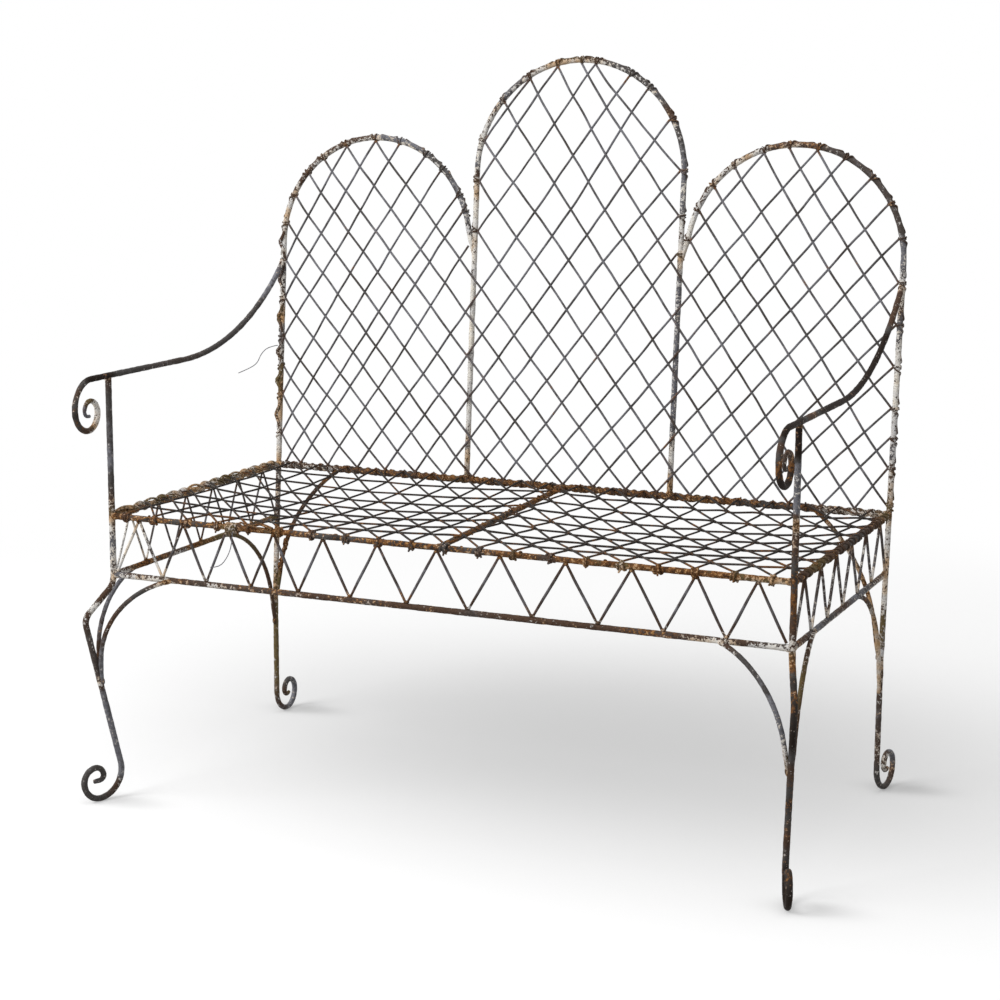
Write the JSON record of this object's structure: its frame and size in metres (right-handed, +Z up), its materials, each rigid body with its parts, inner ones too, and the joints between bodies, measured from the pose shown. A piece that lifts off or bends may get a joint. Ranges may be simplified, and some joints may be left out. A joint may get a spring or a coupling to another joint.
{
  "type": "garden bench",
  "caption": "Garden bench of bent round iron rod, with an arched back, scrolled arms and feet, and a back and seat of crossed wires tied to the rods.",
  "frame": {"origin": "on the ground, under the middle of the bench's overall box", "axes": "+X to the right of a viewer who faces the bench, +Y to the back, +Z up; the front of the bench faces -Y"},
  "size_m": [1.1194, 0.6638, 1.1272],
  "materials": {
    "painted_iron": "old pale paint, chipped and flaking over dark rusted iron",
    "rusted_iron": "matt rust with dark scale and traces of paint",
    "dark_iron": "dark weathered iron, satin to matt, rusting at bends and joints",
    "mesh_wire": "dark grey weathered wire, matt",
    "wrap_wire": "rusty wire, matt"
  },
  "bodies": {
    "root": {"back_arch_left": "painted_iron", "back_arch_right": "painted_iron", "back_arch_centre": "painted_iron", "seat_front_rail": "rusted_iron", "seat_rear_rail": "rusted_iron", "seat_left_rail": "rusted_iron", "seat_right_rail": "rusted_iron", "seat_cross_rod": "rusted_iron", "apron_front_rail": "rusted_iron", "apron_left_rail": "rusted_iron", "apron_right_rail": "rusted_iron", "front_post_left": "dark_iron", "front_post_right": "dark_iron", "arm_left": "dark_iron", "arm_right": "dark_iron", "front_brace_left": "dark_iron", "front_brace_right": "dark_iron", "side_brace_left": "dark_iron", "side_brace_right": "dark_iron", "rear_side_brace_left": "dark_iron", "rear_side_brace_right": "dark_iron", "rear_brace_left": "dark_iron", "rear_brace_right": "dark_iron", "back_mesh_rising": "mesh_wire", "back_mesh_falling": "mesh_wire", "seat_mesh_lengthwise": "mesh_wire", "seat_mesh_crosswise": "mesh_wire", "seat_mesh_diagonal": "mesh_wire", "zigzag_front": "mesh_wire", "zigzag_left": "mesh_wire", "zigzag_right": "mesh_wire", "wraps_arch_left": "wrap_wire", "wraps_arch_centre": "wrap_wire", "wraps_arch_right": "wrap_wire", "wraps_seat_front": "wrap_wire", "wraps_seat_rear": "wrap_wire", "wraps_seat_left": "wrap_wire", "wraps_seat_right": "wrap_wire", "loose_tail_upright": "wrap_wire", "loose_tail_front": "wrap_wire"}
  },
  "joints": []
}
